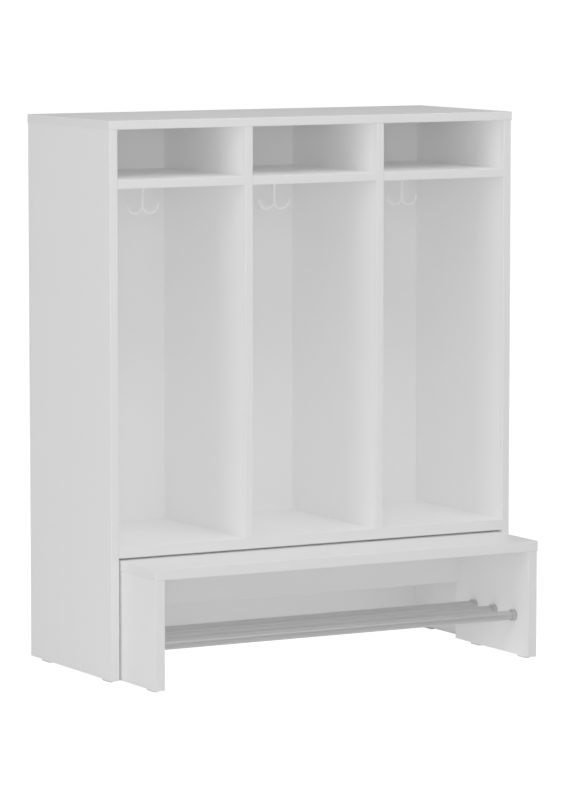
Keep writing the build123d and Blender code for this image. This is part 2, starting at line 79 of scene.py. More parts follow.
# ---------------------------------------------------------------- places read from the model
def solids(name):
    """Lowest and highest corners of each separate solid in a node, as an array (solids, 2, 3).

    Triangles that share a corner point belong to one solid: every point takes the lowest number
    among its triangles' points, again and again, until nothing changes.
    """
    mesh = frame["nodes"][name].data
    points = np.empty(len(mesh.vertices) * 3, np.float32)
    mesh.vertices.foreach_get("co", points)
    corners = np.empty(len(mesh.loops), np.int32)
    mesh.loops.foreach_get("vertex_index", corners)
    places, number = np.unique(points.reshape(-1, 3).round(6), axis=0, return_inverse=True)
    triangles = number.reshape(-1)[corners].reshape(-1, 3)
    label = np.arange(len(places))
    while True:
        lower = label.copy()
        np.minimum.at(lower, triangles.ravel(), np.repeat(label[triangles].min(axis=1), 3))
        lower = lower[lower]
        if (lower == label).all():
            break
        label = lower
    boxes = [(places[label == k].min(axis=0), places[label == k].max(axis=0)) for k in np.unique(label)]
    return np.array(boxes, float)


def foot(box, direction):
    """Middle of the side of a box that a piece starts from when it points in a direction."""
    low, high = box
    return (low + high) / 2 - direction * np.abs((high - low) @ direction) / 2


def outward(box):
    """Direction along X away from the object's middle."""
    return RIGHT * np.sign(box.mean(axis=0)[0])


# ---------------------------------------------------------------- surfaces
def turn(count):
    """Angles of count points on a circle, half a step off the axes."""
    return (np.arange(count) + 0.5) * 2 * math.pi / count


def lathe(profile, count):
    """Rings of a turned shape: a profile of (radius, height) points carried round the Z axis."""
    radius, height = np.array(profile, float).T[:, :, None]
    angle = turn(count)[None, :]
    return np.stack(
        [radius * np.cos(angle), radius * np.sin(angle), height + 0 * angle], axis=2)


def placed(rings, point, direction):
    """Rings with their Z axis laid along a direction and their origin at a point."""
    across = RIGHT if abs(direction[0]) < 0.5 else BACKWARD
    return rings @ np.array([across, np.cross(direction, across), direction]) + point


def skin(rings, closed=False):
    """Points, quads and caps of a surface through rings (rings, points, 3), all as arrays.

    A closed surface joins its last ring to its first, as on a tube with a bore. Any other is closed
    by a fan to a pole in the middle of each end ring. Faces are turned outwards: the volumes between
    the faces and the middle of the points have to add up to more than nothing.
    """
    rows, count, _ = rings.shape
    index = np.arange(rows * count).reshape(rows, count)
    if closed:
        index = np.vstack([index, index[:1]])
    ahead = np.roll(index, -1, axis=1)
    quads = np.stack([index[:-1], ahead[:-1], ahead[1:], index[1:]], axis=2).reshape(-1, 4)
    points = rings.reshape(-1, 3)
    caps = np.empty((0, 3), int)
    if not closed:
        points = np.vstack([points, rings[0].mean(axis=0), rings[-1].mean(axis=0)])
        first, last = rows * count, rows * count + 1
        caps = np.vstack([
            np.stack([ahead[0], index[0], np.full(count, first)], axis=1),
            np.stack([index[-1], ahead[-1], np.full(count, last)], axis=1),
        ])
    triangles = np.vstack([quads[:, [0, 1, 2]], quads[:, [0, 2, 3]], caps])
    a, b, c = (points[triangles[:, i]] - points.mean(axis=0) for i in range(3))
    if np.einsum("ij,ij->i", a, np.cross(b, c)).sum() < 0:
        quads, caps = quads[:, ::-1], caps[:, ::-1]
    return points, quads, caps


def piece(name, node, skins, finish, crease=40):
    """One object from several skins, standing for a CAD node on that node's body, in the finish given."""
    points, faces, start = [], [], 0
    for skin_points, quads, caps in skins:
        points.append(skin_points)
        faces += (quads + start).tolist() + (caps + start).tolist()
        start += len(skin_points)
    mesh = bpy.data.meshes.new(name)
    mesh.from_pydata(np.vstack(points).tolist(), [], faces)
    mesh.shade_smooth()
    mesh.set_sharp_from_angle(angle=math.radians(crease))
    mesh.materials.append(finish)
    made = bpy.data.objects.new(name, mesh)
    bpy.context.scene.collection.objects.link(made)
    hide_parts(node)
    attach(made, body_of[node])
    return made


def arc(center, radius, start, end, steps):
    """Points (radius, height) on a round corner of a profile, between two angles in degrees."""
    angle = np.radians(np.linspace(start, end, steps))
    return [(center[0] + radius * c, center[1] + radius * s)
            for c, s in zip(np.cos(angle), np.sin(angle))]


# ---------------------------------------------------------------- materials
def linear(code):
    """Linear RGBA of an sRGB hex colour."""
    parts = [int(code[i:i + 2], 16) / 255 for i in (1, 3, 5)]
    return [v / 12.92 if v <= 0.04045 else ((v + 0.055) / 1.055) ** 2.4 for v in parts] + [1.0]


def add(tree, kind, inputs=(), **settings):
    """Add a node with its settings; each input is a value or another node's output socket."""
    made = tree.nodes.new(kind)
    for name, value in settings.items():
        setattr(made, name, value)
    for key, value in dict(inputs).items():
        if isinstance(value, bpy.types.NodeSocket):
            tree.links.new(value, made.inputs[key])
        else:
            made.inputs[key].default_value = value
    return made


def surface(name, **values):
    """New material with a Principled shader; values and colours go straight on its sockets."""
    made = bpy.data.materials.new(name)
    made.use_nodes = True
    shader = made.node_tree.nodes["Principled BSDF"]
    for key, value in values.items():
        shader.inputs[key.replace("_", " ")].default_value = value
    return made, made.node_tree, shader


EVEN = (1.0, 1.0, 1.0)
CLOUD_LOW, CLOUD_HIGH = 0.25, 0.75  # the middle half of a cloudy pattern's range


def worked_surface(name, patterns, roughness, relief, **values):
    """Material with cloudy patterns of real sizes, which set its roughness and its relief.

    patterns gives each pattern's size in metres, its detail, and how many times its marks are drawn
    out along X, Y and Z. roughness is (pattern, low, high) and runs over the middle half of the
    pattern's range. relief is (pattern, depth in metres).
    """
    made, tree, shader = surface(name, **values)
    place = add(tree, "ShaderNodeTexCoord").outputs["Object"]
    clouds = {}
    for pattern, (size, detail, stretch) in patterns.items():
        scale = tuple(1.0 / times for times in stretch)
        drawn = add(tree, "ShaderNodeMapping", {"Vector": place, "Scale": scale}).outputs["Vector"]
        clouds[pattern] = add(tree, "ShaderNodeTexNoise", {
            "Vector": drawn, "Scale": 1.0 / size, "Detail": detail}).outputs["Fac"]
    pattern, low, high = roughness
    gloss = add(tree, "ShaderNodeMapRange", {
        "Value": clouds[pattern], "From Min": CLOUD_LOW, "From Max": CLOUD_HIGH,
        "To Min": low, "To Max": high})
    tree.links.new(gloss.outputs["Result"], shader.inputs["Roughness"])
    pattern, depth = relief
    bump = add(tree, "ShaderNodeBump", {
        "Height": clouds[pattern], "Strength": 1.0, "Distance": depth})
    tree.links.new(bump.outputs["Normal"], shader.inputs["Normal"])
    return made, tree, shader, clouds


def plain_finish(name, patterns, color, roughness, relief, **values):
    """Worked surface of one colour; color is (pattern, hex, hex), and drifts between the two."""
    made, tree, shader, clouds = worked_surface(name, patterns, roughness, relief, **values)
    pattern, low, high = color
    drift = add(tree, "ShaderNodeMix", {0: clouds[pattern], 6: linear(low), 7: linear(high)},
                data_type="RGBA")
    tree.links.new(drift.outputs[2], shader.inputs["Base Color"])
    return made


WAVE_ROUGHNESS = 0.03  # how far the waves take a board's roughness up and down
PEBBLE_DEPTH = 0.012 * MM
SQUARE = 0.995  # a face lies square to the axes where its normal's largest part is at least this


def board_finish(name, skin_colors, core_colors, roughness, grain):
    """Coated board: an even white skin on its flat sides, and its brown core inside round holes.

    The skin has the faint pebble of its press plate, and slow waves from the board beneath. The core
    shows wherever a face doesn't lie square to the axes, as on the wall of a drilled hole.
    """
    patterns = {
        "pebble": (grain, 1.0, EVEN),
        "waves": (60 * MM, 3.0, EVEN),
        "chips": (2.5 * MM, 4.0, (2.0, 2.0, 1.0)),
    }
    made, tree, shader, clouds = worked_surface(
        name, patterns, ("waves", roughness - WAVE_ROUGHNESS, roughness + WAVE_ROUGHNESS),
        ("pebble", PEBBLE_DEPTH), Specular_IOR_Level=0.5, IOR=1.5)
    colors = []
    for pattern, (low, high) in (("waves", skin_colors), ("chips", core_colors)):
        share = add(tree, "ShaderNodeMapRange", {
            "Value": clouds[pattern], "From Min": CLOUD_LOW, "From Max": CLOUD_HIGH})
        colors.append(add(tree, "ShaderNodeMix", {
            0: share.outputs["Result"], 6: linear(low), 7: linear(high)}, data_type="RGBA").outputs[2])
    normal = add(tree, "ShaderNodeNewGeometry").outputs["True Normal"]
    parts = add(tree, "ShaderNodeVectorMath", {0: normal}, operation="ABSOLUTE").outputs["Vector"]
    x, y, z = add(tree, "ShaderNodeSeparateXYZ", {0: parts}).outputs
    most = add(tree, "ShaderNodeMath", {0: x, 1: y}, operation="MAXIMUM").outputs[0]
    most = add(tree, "ShaderNodeMath", {0: most, 1: z}, operation="MAXIMUM").outputs[0]
    drilled = add(tree, "ShaderNodeMath", {0: most, 1: SQUARE}, operation="LESS_THAN").outputs[0]
    color = add(tree, "ShaderNodeMix", {0: drilled, 6: colors[0], 7: colors[1]}, data_type="RGBA")
    tree.links.new(color.outputs[2], shader.inputs["Base Color"])
    return made


# Melamine-faced particleboard, pressed: satin white, with a pebble under a millimetre across.
melamine = board_finish(
    "melamine_faced_particleboard", ("#f8f8f8", "#fafafa"), ("#7d5a36", "#b08a5c"),
    roughness=0.42, grain=0.9 * MM)
# Lacquered fibreboard, rolled: a little duller and greyer, with a finer pebble and an even core.
fibreboard = board_finish(
    "lacquered_fibreboard", ("#f7f7f7", "#f9f9f9"), ("#6f5237", "#8a6a48"),
    roughness=0.48, grain=0.6 * MM)
# Extruded ABS band: glossier than the board, with faint lines from its die. It is a touch greyer than the
# board, and that grey is painted shade: it holds the front edges, which the lamps light more than the
# sides, down to the sides' tone.
edge_band = plain_finish(
    "extruded_abs_edge_band",
    {"lines": (0.5 * MM, 1.0, (1.0, 60.0, 60.0)), "haze": (35 * MM, 2.0, EVEN)},
    color=("haze", "#f2f2f2", "#f5f5f5"),
    roughness=("haze", 0.30, 0.36),
    relief=("lines", 0.004 * MM),
    IOR=1.53)
# Powder-coated steel: white, with the orange peel that baked powder leaves.
powder_coat = plain_finish(
    "white_powder_coat",
    {"peel": (1.6 * MM, 1.0, EVEN), "dust": (12 * MM, 2.0, EVEN)},
    color=("dust", "#f6f6f6", "#fcfcfc"),
    roughness=("peel", 0.30, 0.40),
    relief=("peel", 0.03 * MM),
    IOR=1.5, Coat_Weight=0.5, Coat_Roughness=0.2)
# Satin-anodised aluminium tube: grey, with fine drawing lines along its length (X). They are a tenth
# of a millimetre apart on the real tube, and are drawn at 0.6 mm so that they show.
anodised = plain_finish(
    "satin_anodised_aluminium",
    {"lines": (0.6 * MM, 2.0, (150.0, 1.0, 1.0)), "cloud": (40 * MM, 2.0, (4.0, 1.0, 1.0))},
    color=("lines", "#a4a4a4", "#b2b2b2"),
    roughness=("cloud", 0.36, 0.44),
    relief=("lines", 0.004 * MM),
    Metallic=0.5)
# Turned aluminium: grey, with lathe rings round its axis (X).
turned_metal = plain_finish(
    "turned_aluminium",
    {"rings": (0.5 * MM, 1.0, (1.0, 40.0, 40.0))},
    color=("rings", "#9e9e9e", "#ababab"),
    roughness=("rings", 0.32, 0.42),
    relief=("rings", 0.008 * MM),
    Metallic=0.6)
# Moulded polyethylene: waxy grey-white that lets a little light in, scuffed by the floor.
polyethylene = plain_finish(
    "moulded_polyethylene",
    {"scuffs": (3 * MM, 3.0, EVEN)},
    color=("scuffs", "#dcdcdb", "#e6e6e5"),
    roughness=("scuffs", 0.42, 0.58),
    relief=("scuffs", 0.02 * MM),
    IOR=1.51, Subsurface_Weight=0.15, Subsurface_Scale=1.5 * MM)
# Die-cast zinc: dull grey with a mottled, slightly pitted skin.
cast_zinc = plain_finish(
    "die_cast_zinc",
    {"mottle": (1.2 * MM, 3.0, EVEN)},
    color=("mottle", "#8e8f91", "#a9aaac"),
    roughness=("mottle", 0.42, 0.60),
    relief=("mottle", 0.03 * MM),
    Metallic=1.0)
# Zinc-plated steel: bright grey, with the faint blue and yellow cast of its passivation.
zinc_plate = plain_finish(
    "zinc_plated_steel",
    {"cast": (2.5 * MM, 2.0, EVEN)},
    color=("cast", "#b4b9c0", "#c3c0b4"),
    roughness=("cast", 0.24, 0.34),
    relief=("cast", 0.01 * MM),
    Metallic=1.0)
# Planed beech: pale brown, with darker flecks about 2 mm across.
beech = plain_finish(
    "beech",
    {"flecks": (2 * MM, 2.0, EVEN)},
    color=("flecks", "#b98f63", "#d9b78c"),
    roughness=("flecks", 0.55, 0.70),
    relief=("flecks", 0.02 * MM),
    IOR=1.5)
finish_of_slot = {
    "melamine_white": melamine,
    "back_panel_white": fibreboard,
    "edge_band_white": edge_band,
    "hook_white": powder_coat,
    "rod_grey": anodised,
    "socket_grey": turned_metal,
    "glide_grey": polyethylene,
    "zinc": cast_zinc,
    "screw_steel": zinc_plate,
    "beech": beech,
}
for name, cad_node in frame["nodes"].items():
    cad_node.data.materials.clear()
    cad_node.data.materials.append(finish_of_slot[slot_of[name]])

# ---------------------------------------------------------------- screws
SCREW_POINTS = 40  # on each ring
FACE_RINGS = np.linspace(0.06, 0.97, 14)  # radii of the face's rings, as shares of the head's
HEAD_RIM = (0.03, 0.08)  # heights between which the head's edge is straight, as shares of its radius
RECESS_ARM = 0.62  # half length of a cross recess, as a share of the head's radius
RECESS_WIDTH = 0.45 * MM  # half width of its arms
RECESS_DEPTH = 1.1 * MM
RECESS_WALL = 0.2 * MM  # distance over which its depth falls to nothing
RECESS_MIDDLE = 1.2  # depth at the middle of the cross, in recess depths
THREAD_DEPTH = 0.26  # of the thread's outer radius
THREAD_STEEPNESS = 2.2  # pitch over the width of the ridge's foot
THREAD_RINGS = 6  # rings a turn
TIP_LENGTH = 3  # in shank radii
TIP_RADIUS = 0.04  # radius that is left at the very tip, in shank radii


def screw_rings(head, shank, length, pitch, plain=0.0):
    """Rings of a countersunk screw from its head's face at height 0 to its tip.

    The face is a disc with a cross recess: its depth falls off in a straight ramp at the recess's
    outline. The neck is a cone. The thread is a ridge that climbs a pitch with each turn, so its
    height at (angle, z) depends on the fraction of z / pitch - angle / 2 pi. The tip tapers.
    """
    angle = turn(SCREW_POINTS)[None, :]
    radius = head * FACE_RINGS[:, None]
    x, y = np.abs(radius * np.cos(angle)), np.abs(radius * np.sin(angle))
    long_way, short_way = np.maximum(x, y), np.minimum(x, y)
    inside = np.minimum(RECESS_ARM * head - long_way, RECESS_WIDTH - short_way) / RECESS_WALL
    depth = RECESS_DEPTH * (inside + 0.5).clip(0, 1) * (RECESS_MIDDLE - long_way / head)
    face = np.stack([radius * np.cos(angle), radius * np.sin(angle), depth], axis=2)
    rim = [(head, share * head) for share in HEAD_RIM]
    cone = lathe([*rim, (shank, head - shank)], SCREW_POINTS)
    start = head - shank + plain
    z = np.linspace(start, length, int((length - start) / pitch * THREAD_RINGS))[:, None]
    phase = (z / pitch - angle / (2 * math.pi)) % 1.0
    ridge = (1 - np.abs(2 * phase - 1) * THREAD_STEEPNESS).clip(0, 1)
    taper = ((length - z) / (TIP_LENGTH * shank)).clip(TIP_RADIUS, 1)
    run_in = ((z - start) / pitch).clip(0, 1)
    thread_radius = shank * taper * (1 - THREAD_DEPTH * (1 - ridge * run_in))
    thread = np.stack([thread_radius * np.cos(angle), thread_radius * np.sin(angle),
                       z + 0 * angle], axis=2)
    return np.vstack([face, cone, thread])


def screw_piece(name, node, direction, shank, pitch, plain=0.0):
    """All the screws of a node; each box gives one screw's head, length and place.

    A direction of None points each screw outwards along X.
    """
    skins = []
    for box in solids(node):
        way = outward(box) if direction is None else direction
        size = box[1] - box[0]
        length = abs(size @ way)
        head = (size.sum() - length) / 4
        rings = screw_rings(head, shank, length, pitch, plain)
        skins.append(skin(placed(rings, foot(box, way), way)))
    return piece(name, node, skins, zinc_plate)


screw_piece("back_panel_wood_screws", "back_panel_screws", FORWARD, 1.75 * MM, 1.8 * MM)
screw_piece("divider_panel_screws", "divider_screws", UP, 3.2 * MM, 3.0 * MM, 14 * MM)
screw_piece("coat_hook_wood_screws", "coat_hook_screws", UP, 1.6 * MM, 1.6 * MM)
screw_piece("cabinet_glide_wood_screws", "cabinet_glide_screws", UP, 1.6 * MM, 1.6 * MM)
screw_piece("bench_glide_wood_screws", "bench_glide_screws", UP, 1.6 * MM, 1.6 * MM)
screw_piece("rod_socket_wood_screws", "rod_socket_screws", None, 1.6 * MM, 1.6 * MM)

# ---------------------------------------------------------------- glides
ROUND_POINTS = 96  # on each ring of a glide, rod or socket
HOLE_HEAD, HOLE_SHANK = 3.3 * MM, 1.7 * MM  # radii of the countersunk holes in every fitting
HOLE_CONE = HOLE_HEAD - HOLE_SHANK
GLIDE_ROUND = 1.5 * MM  # at the sole's edge
GLIDE_EDGE = 0.3 * MM  # chamfer at the top
GLIDE_SINK = 1.0 * MM  # how far a screw's head lies above the sole


def oblong(width, length, inset, height):
    """Ring on an oblong outline: two half circles, moved apart along Y by its straight sides."""
    angle = turn(ROUND_POINTS)
    radius = width / 2 - inset
    away = np.sign(np.sin(angle)) * (length - width) / 2
    return np.stack([radius * np.cos(angle), radius * np.sin(angle) + away,
                     np.full(ROUND_POINTS, height)], axis=1)


def glide_skin(box):
    """Oblong glide: outline rings from the sole up to the top, then down the screw's hole."""
    width, length, height = box[1] - box[0]
    rings = [oblong(width, length, GLIDE_ROUND * (1 - math.sin(a)), GLIDE_ROUND * (1 - math.cos(a)))
             for a in np.linspace(0, math.pi / 2, 7)]
    rings += [oblong(width, length, 0, height - GLIDE_EDGE),
              oblong(width, length, GLIDE_EDGE, height)]
    hole = lathe([(HOLE_SHANK, height), (HOLE_SHANK, GLIDE_SINK + HOLE_CONE),
                  (HOLE_HEAD, GLIDE_SINK), (HOLE_HEAD, 0)], ROUND_POINTS)
    return skin(placed(np.vstack([rings, hole]), foot(box, UP), UP), closed=True)


for name in ("cabinet", "bench"):
    piece(f"{name}_floor_glides", f"{name}_glides", map(glide_skin, solids(f"{name}_glides")),
          polyethylene)

# ---------------------------------------------------------------- shoe rods and their sockets
ROD_WALL = 1.5 * MM
ROD_CHAMFER = 0.3 * MM
SOCKET_FLOOR = 2.5 * MM
SOCKET_LIP = 0.9 * MM
SOCKET_PLAY = 0.15 * MM  # between the rod and its bore
SOCKET_CHAMFER = 0.3 * MM

for name in ("front", "middle", "rear"):
    low, high = (np.array(corner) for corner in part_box(f"{name}_shoe_rod"))
    length, radius = high[0] - low[0], (high[2] - low[2]) / 2
    bore, c = radius - ROD_WALL, ROD_CHAMFER
    tube = lathe([(radius - c, 0), (radius, c), (radius, length - c), (radius - c, length),
                  (bore + c, length), (bore, length - c), (bore, c), (bore + c, 0)], ROUND_POINTS)
    start = foot(np.array([low, high]), RIGHT)
    piece(f"{name}_rod_tube", f"{name}_shoe_rod", [skin(placed(tube, start, RIGHT), closed=True)],
          anodised)


def socket_skin(box):
    """Turned cup: foot, outer wall, rounded lip, bore for the rod, floor and countersunk hole."""
    size = box[1] - box[0]
    length, radius = size[0], size[2] / 2
    rod_low, rod_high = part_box("front_shoe_rod")
    bore, c = (rod_high.z - rod_low.z) / 2 + SOCKET_PLAY, SOCKET_CHAMFER
    profile = [(radius - c, 0), (radius, c)]
    profile += arc((radius - SOCKET_LIP, length - SOCKET_LIP), SOCKET_LIP, 0, 90, 6)
    profile += [(bore + c, length), (bore, length - c), (bore, SOCKET_FLOOR),
                (HOLE_HEAD, SOCKET_FLOOR), (HOLE_SHANK, SOCKET_FLOOR - HOLE_CONE), (HOLE_SHANK, 0)]
    inward = -outward(box)
    return skin(placed(lathe(profile, ROUND_POINTS), foot(box, inward), inward), closed=True)


piece("turned_rod_sockets", "rod_sockets", map(socket_skin, solids("rod_sockets")), turned_metal)

# ---------------------------------------------------------------- cams, cam bolts and dowels
CAM_POINTS = 72  # on each ring
CAM_RADIUS = 7.5 * MM
CAM_SLOT = 3.1 * MM  # half width of the mouth that takes a bolt's head
CAM_CORE = 0.3 * MM  # radius that the mouth leaves
CAM_FACE_RINGS = np.linspace(0.05, 0.93, 16)  # radii of the face's rings, as shares of the cam's
CAM_FACE_ARM, CAM_FACE_WIDTH, CAM_FACE_DEPTH = 3.4 * MM, 0.55 * MM, 1.6 * MM
CAM_FACE_WALL = 0.25 * MM
CAM_DISH = 0.80  # radius of the dish, as a share of the cam's
CAM_DISH_DEPTH, CAM_DISH_WALL = 0.35 * MM, 0.3 * MM
CAM_RIM, CAM_DRUM_START, CAM_BACK_EDGE = 0.3 * MM, 0.8 * MM, 0.4 * MM


def cam_rings(height, bolt_height):
    """Rings of a cam: a face with a cross recess in a shallow dish, a drum with a mouth, a back.

    The drum's radius at (angle, z) is cut to the distance at which a ray leaves a round hole that
    comes in along +X at the bolt's height.
    """
    angle = turn(CAM_POINTS)[None, :]
    r = CAM_RADIUS * CAM_FACE_RINGS[:, None]
    x, y = np.abs(r * np.cos(angle)), np.abs(r * np.sin(angle))
    long_way, short_way = np.maximum(x, y), np.minimum(x, y)
    inside = np.minimum(CAM_FACE_ARM - long_way, CAM_FACE_WIDTH - short_way) / CAM_FACE_WALL
    depth = CAM_FACE_DEPTH * (inside + 0.5).clip(0, 1)
    dish = CAM_DISH_DEPTH * ((CAM_DISH * CAM_RADIUS - r) / CAM_DISH_WALL + 0.5).clip(0, 1)
    face = np.stack([r * np.cos(angle), r * np.sin(angle), np.maximum(depth, dish)], axis=2)
    rim = lathe([(CAM_RADIUS - CAM_RIM, 0), (CAM_RADIUS, CAM_RIM)], CAM_POINTS)
    z = np.linspace(CAM_DRUM_START, height - CAM_BACK_EDGE, 20)[:, None]
    half = np.sqrt((CAM_SLOT ** 2 - (z - bolt_height) ** 2).clip(0))
    reach = half / np.maximum(np.abs(np.sin(angle)), 1e-3)
    in_mouth = (np.cos(angle) > 0) & (half > 0)
    drum_radius = np.where(in_mouth, np.minimum(CAM_RADIUS, reach), CAM_RADIUS).clip(CAM_CORE)
    drum = np.stack([drum_radius * np.cos(angle), drum_radius * np.sin(angle), z + 0 * angle], axis=2)
    back = lathe([(CAM_RADIUS - CAM_BACK_EDGE, height)], CAM_POINTS)
    return np.vstack([face, rim, drum, back])


def cam_piece(name, node, direction, bolts_node):
    """All the cams of a node, each with its mouth turned to the nearest bolt's far end.

    A cam's rings are laid with their Z axis along a direction and their +X side to the bolt.
    """
    bolts = solids(bolts_node)
    skins = []
    for box in solids(node):
        middle = box.mean(axis=0)
        start = foot(box, direction)
        height = abs((box[1] - box[0]) @ direction)
        across = 1 - np.abs(direction)
        gaps = np.abs((bolts.mean(axis=1) - middle) * across).sum(axis=1)
        bolt = bolts[gaps.argmin()]
        axis = (bolt[1] - bolt[0]).argmax()
        mouth = np.zeros(3)
        mouth[axis] = np.sign((bolt.mean(axis=0) - middle)[axis])
        bolt_height = abs((bolt.mean(axis=0) - start) @ direction)
        axes = np.array([mouth, np.cross(direction, mouth), direction])
        skins.append(skin(cam_rings(height, bolt_height) @ axes + start))
    return piece(name, node, skins, cast_zinc)


cam_piece("bottom_panel_cam_discs", "bottom_panel_cams", UP, "bottom_panel_cam_bolts")
cam_piece("bench_cam_discs", "bench_cams", FORWARD, "bench_cam_bolts")

BOLT_THREAD, BOLT_HEAD, BOLT_NECK = 11.0 * MM, 3.0 * MM, 4.0 * MM
BOLT_THREAD_RADIUS, BOLT_SHANK_RADIUS, BOLT_NECK_RADIUS = 2.5 * MM, 3.0 * MM, 1.8 * MM
BOLT_PITCH, BOLT_STEEPNESS, BOLT_RUN_OUT = 2.2 * MM, 1.8, 1.5 * MM
BOLT_START = 0.75  # the thread's radius at its end, as a share of its full radius
BOLT_LEAD = 4 * MM  # length over which it would grow by the whole of that radius
BOLT_EDGE = 0.4 * MM


def cam_bolt_rings(length):
    """Rings of a cam bolt: coarse wood thread, collar, plain shank, neck and rounded head.

    The thread climbs as a screw's does, grows from its end and runs out under the collar.
    """
    angle = turn(SCREW_POINTS)[None, :]
    z = np.linspace(0, BOLT_THREAD - BOLT_EDGE, 56)[:, None]
    phase = (z / BOLT_PITCH - angle / (2 * math.pi)) % 1.0
    run_out = ((BOLT_THREAD - z) / BOLT_RUN_OUT).clip(0, 1)
    ridge = (1 - np.abs(2 * phase - 1) * BOLT_STEEPNESS).clip(0, 1) * run_out
    lead = (BOLT_START + z / BOLT_LEAD).clip(0, 1)
    thread_radius = BOLT_THREAD_RADIUS * lead * (1 - THREAD_DEPTH * (1 - ridge))
    thread = np.stack([thread_radius * np.cos(angle), thread_radius * np.sin(angle),
                       z + 0 * angle], axis=2)
    neck, head = length - BOLT_HEAD - BOLT_NECK, length - BOLT_HEAD
    r, n, e = BOLT_SHANK_RADIUS, BOLT_NECK_RADIUS, BOLT_EDGE
    body = [(r - e, BOLT_THREAD), (r, BOLT_THREAD + e), (r, neck - e), (r - e, neck), (n, neck + e),
            (n, head - e), (r - e, head), (r, head + e), *arc((r - e, length - e), e, 0, 90, 4)]
    return np.vstack([thread, lathe(body, SCREW_POINTS)])


def cam_bolt_piece(name, node, cams_node):
    """All the cam bolts of a node, each pointing from its thread towards the nearest cam."""
    cams = solids(cams_node).mean(axis=1)
    skins = []
    for box in solids(node):
        axis = (box[1] - box[0]).argmax()
        middle = box.mean(axis=0)
        near = cams[np.linalg.norm(cams - middle, axis=1).argmin()]
        way = np.zeros(3)
        way[axis] = np.sign(near[axis] - middle[axis])
        rings = cam_bolt_rings((box[1] - box[0])[axis])
        skins.append(skin(placed(rings, foot(box, way), way)))
    return piece(name, node, skins, zinc_plate)


cam_bolt_piece("bottom_panel_connecting_bolts", "bottom_panel_cam_bolts", "bottom_panel_cams")
cam_bolt_piece("bench_connecting_bolts", "bench_cam_bolts", "bench_cams")

DOWEL_POINTS = 72  # on each ring
DOWEL_CHAMFER = 1.0 * MM
FLUTES, FLUTE_DEPTH, FLUTE_SHARPNESS = 12, 0.35 * MM, 6


def dowel_skin(box):
    """Fluted dowel: its radius dips by the flutes' depth times a power of |cos(flutes / 2 angle)|."""
    size = box[1] - box[0]
    way = np.eye(3)[size.argmax()]
    length, radius = size.max(), size.min() / 2
    height = np.array([0, DOWEL_CHAMFER, length - DOWEL_CHAMFER, length])[:, None]
    outer = np.array([radius - DOWEL_CHAMFER, radius, radius, radius - DOWEL_CHAMFER])[:, None]
    angle = turn(DOWEL_POINTS)[None, :]
    r = outer - FLUTE_DEPTH * np.abs(np.cos(FLUTES / 2 * angle)) ** FLUTE_SHARPNESS
    rings = np.stack([r * np.cos(angle), r * np.sin(angle), height + 0 * angle], axis=2)
    return skin(placed(rings, foot(box, way), way))


for name in ("carcass_dowels", "hat_shelf_through_dowels", "bench_dowels"):
    piece(f"{name}_fluted", name, map(dowel_skin, solids(name)), beech, crease=60)

# ---------------------------------------------------------------- coat hooks
HOOK_PLATE, HOOK_ARM, HOOK_STEM = 3.5 * MM, 3.2 * MM, 3.5 * MM
HOOK_BEND = 17.2 * MM  # centre line of each arm's half circle
HOOK_SCREW_REACH = 18.0 * MM  # from the plate's middle to each screw
HOOK_SCREW_END = 9.0 * MM  # from each screw to the plate's end
HOOK_OVERLAP = 1.0 * MM  # how far each half of the plate runs past its middle
HOOK_RAYS = 120  # from each screw hole to the plate's outline
HOOK_POINTS = 48  # on each ring of the stem and arms
HOOK_RIM = 1.2 * MM  # rounding of the plate's lower edge
HOOK_FLARE = 3.0 * MM  # fillet where the stem meets the plate
HOOK_GRAIN = 0.45 * MM  # cells of the mesh that joins the hook's parts


def half_plate(side, length, width):
    """One half of the oblong plate round its screw hole, from the hole out to the outline.

    A ray from the hole's centre meets the outline on a straight side, on the round end, or at the
    plate's middle, where the half runs a little into the other one. Each ring has one point a ray.
    """
    angle = turn(HOOK_RAYS)
    c, s = np.cos(angle), np.sin(angle)
    end_x, end_radius = length / 2 - width / 2, width / 2
    reach = end_radius / np.maximum(np.abs(s), 1e-6)
    hit = HOOK_SCREW_REACH + reach * c
    off = HOOK_SCREW_REACH - end_x
    to_round = -off * c + np.sqrt((off * c) ** 2 - off ** 2 + end_radius ** 2)
    to_middle = (HOOK_SCREW_REACH + HOOK_OVERLAP) / np.maximum(-c, 1e-6)
    reach = np.where(hit > end_x, to_round, reach)
    reach = np.minimum(reach, to_middle)

    def ring(radius, height):
        return np.stack([side * (HOOK_SCREW_REACH + radius * c), radius * s,
                         np.full(len(angle), height)], axis=1)

    edge = [ring(reach - HOOK_RIM * (1 - math.sin(a)), HOOK_RIM * (1 - math.cos(a)))
            for a in np.linspace(0, math.pi / 2, 6)]
    hole = [ring(np.full(len(angle), r), z) for r, z in (
        (HOLE_SHANK, HOOK_PLATE), (HOLE_SHANK, HOLE_CONE), (HOLE_HEAD, 0.0))]
    return np.array([*edge, ring(reach, HOOK_PLATE), *hole])


def hook_arm(side, drop):
    """Round bar carried along a half circle from the stem's foot to the tip, with a domed end.

    Each ring lies across the path: its points are the path's point plus the bar's radius times
    cos(angle) away from the bend's centre and sin(angle) backwards.
    """
    bend = np.linspace(0, math.pi, 48)
    center = np.stack([side * HOOK_BEND * (1 - np.cos(bend)), 0 * bend,
                       -drop - HOOK_BEND * np.sin(bend)], axis=1)
    dome = np.linspace(0.1, 1.5, 8)  # radians from the dome's foot towards its top
    tip = np.stack([np.full(len(dome), 2 * side * HOOK_BEND), 0 * dome,
                    -drop + HOOK_ARM * np.sin(dome)], axis=1)
    center = np.vstack([center, tip])
    radius = np.append(np.full(len(bend), HOOK_ARM), HOOK_ARM * np.cos(dome))[:, None, None]
    bend = np.append(bend, np.full(len(dome), math.pi))
    angle = turn(HOOK_POINTS)[None, :, None]
    out = np.stack([side * -np.cos(bend), 0 * bend, -np.sin(bend)], axis=1)[:, None, :]
    return center[:, None, :] + radius * (np.cos(angle) * out + np.sin(angle) * BACKWARD)


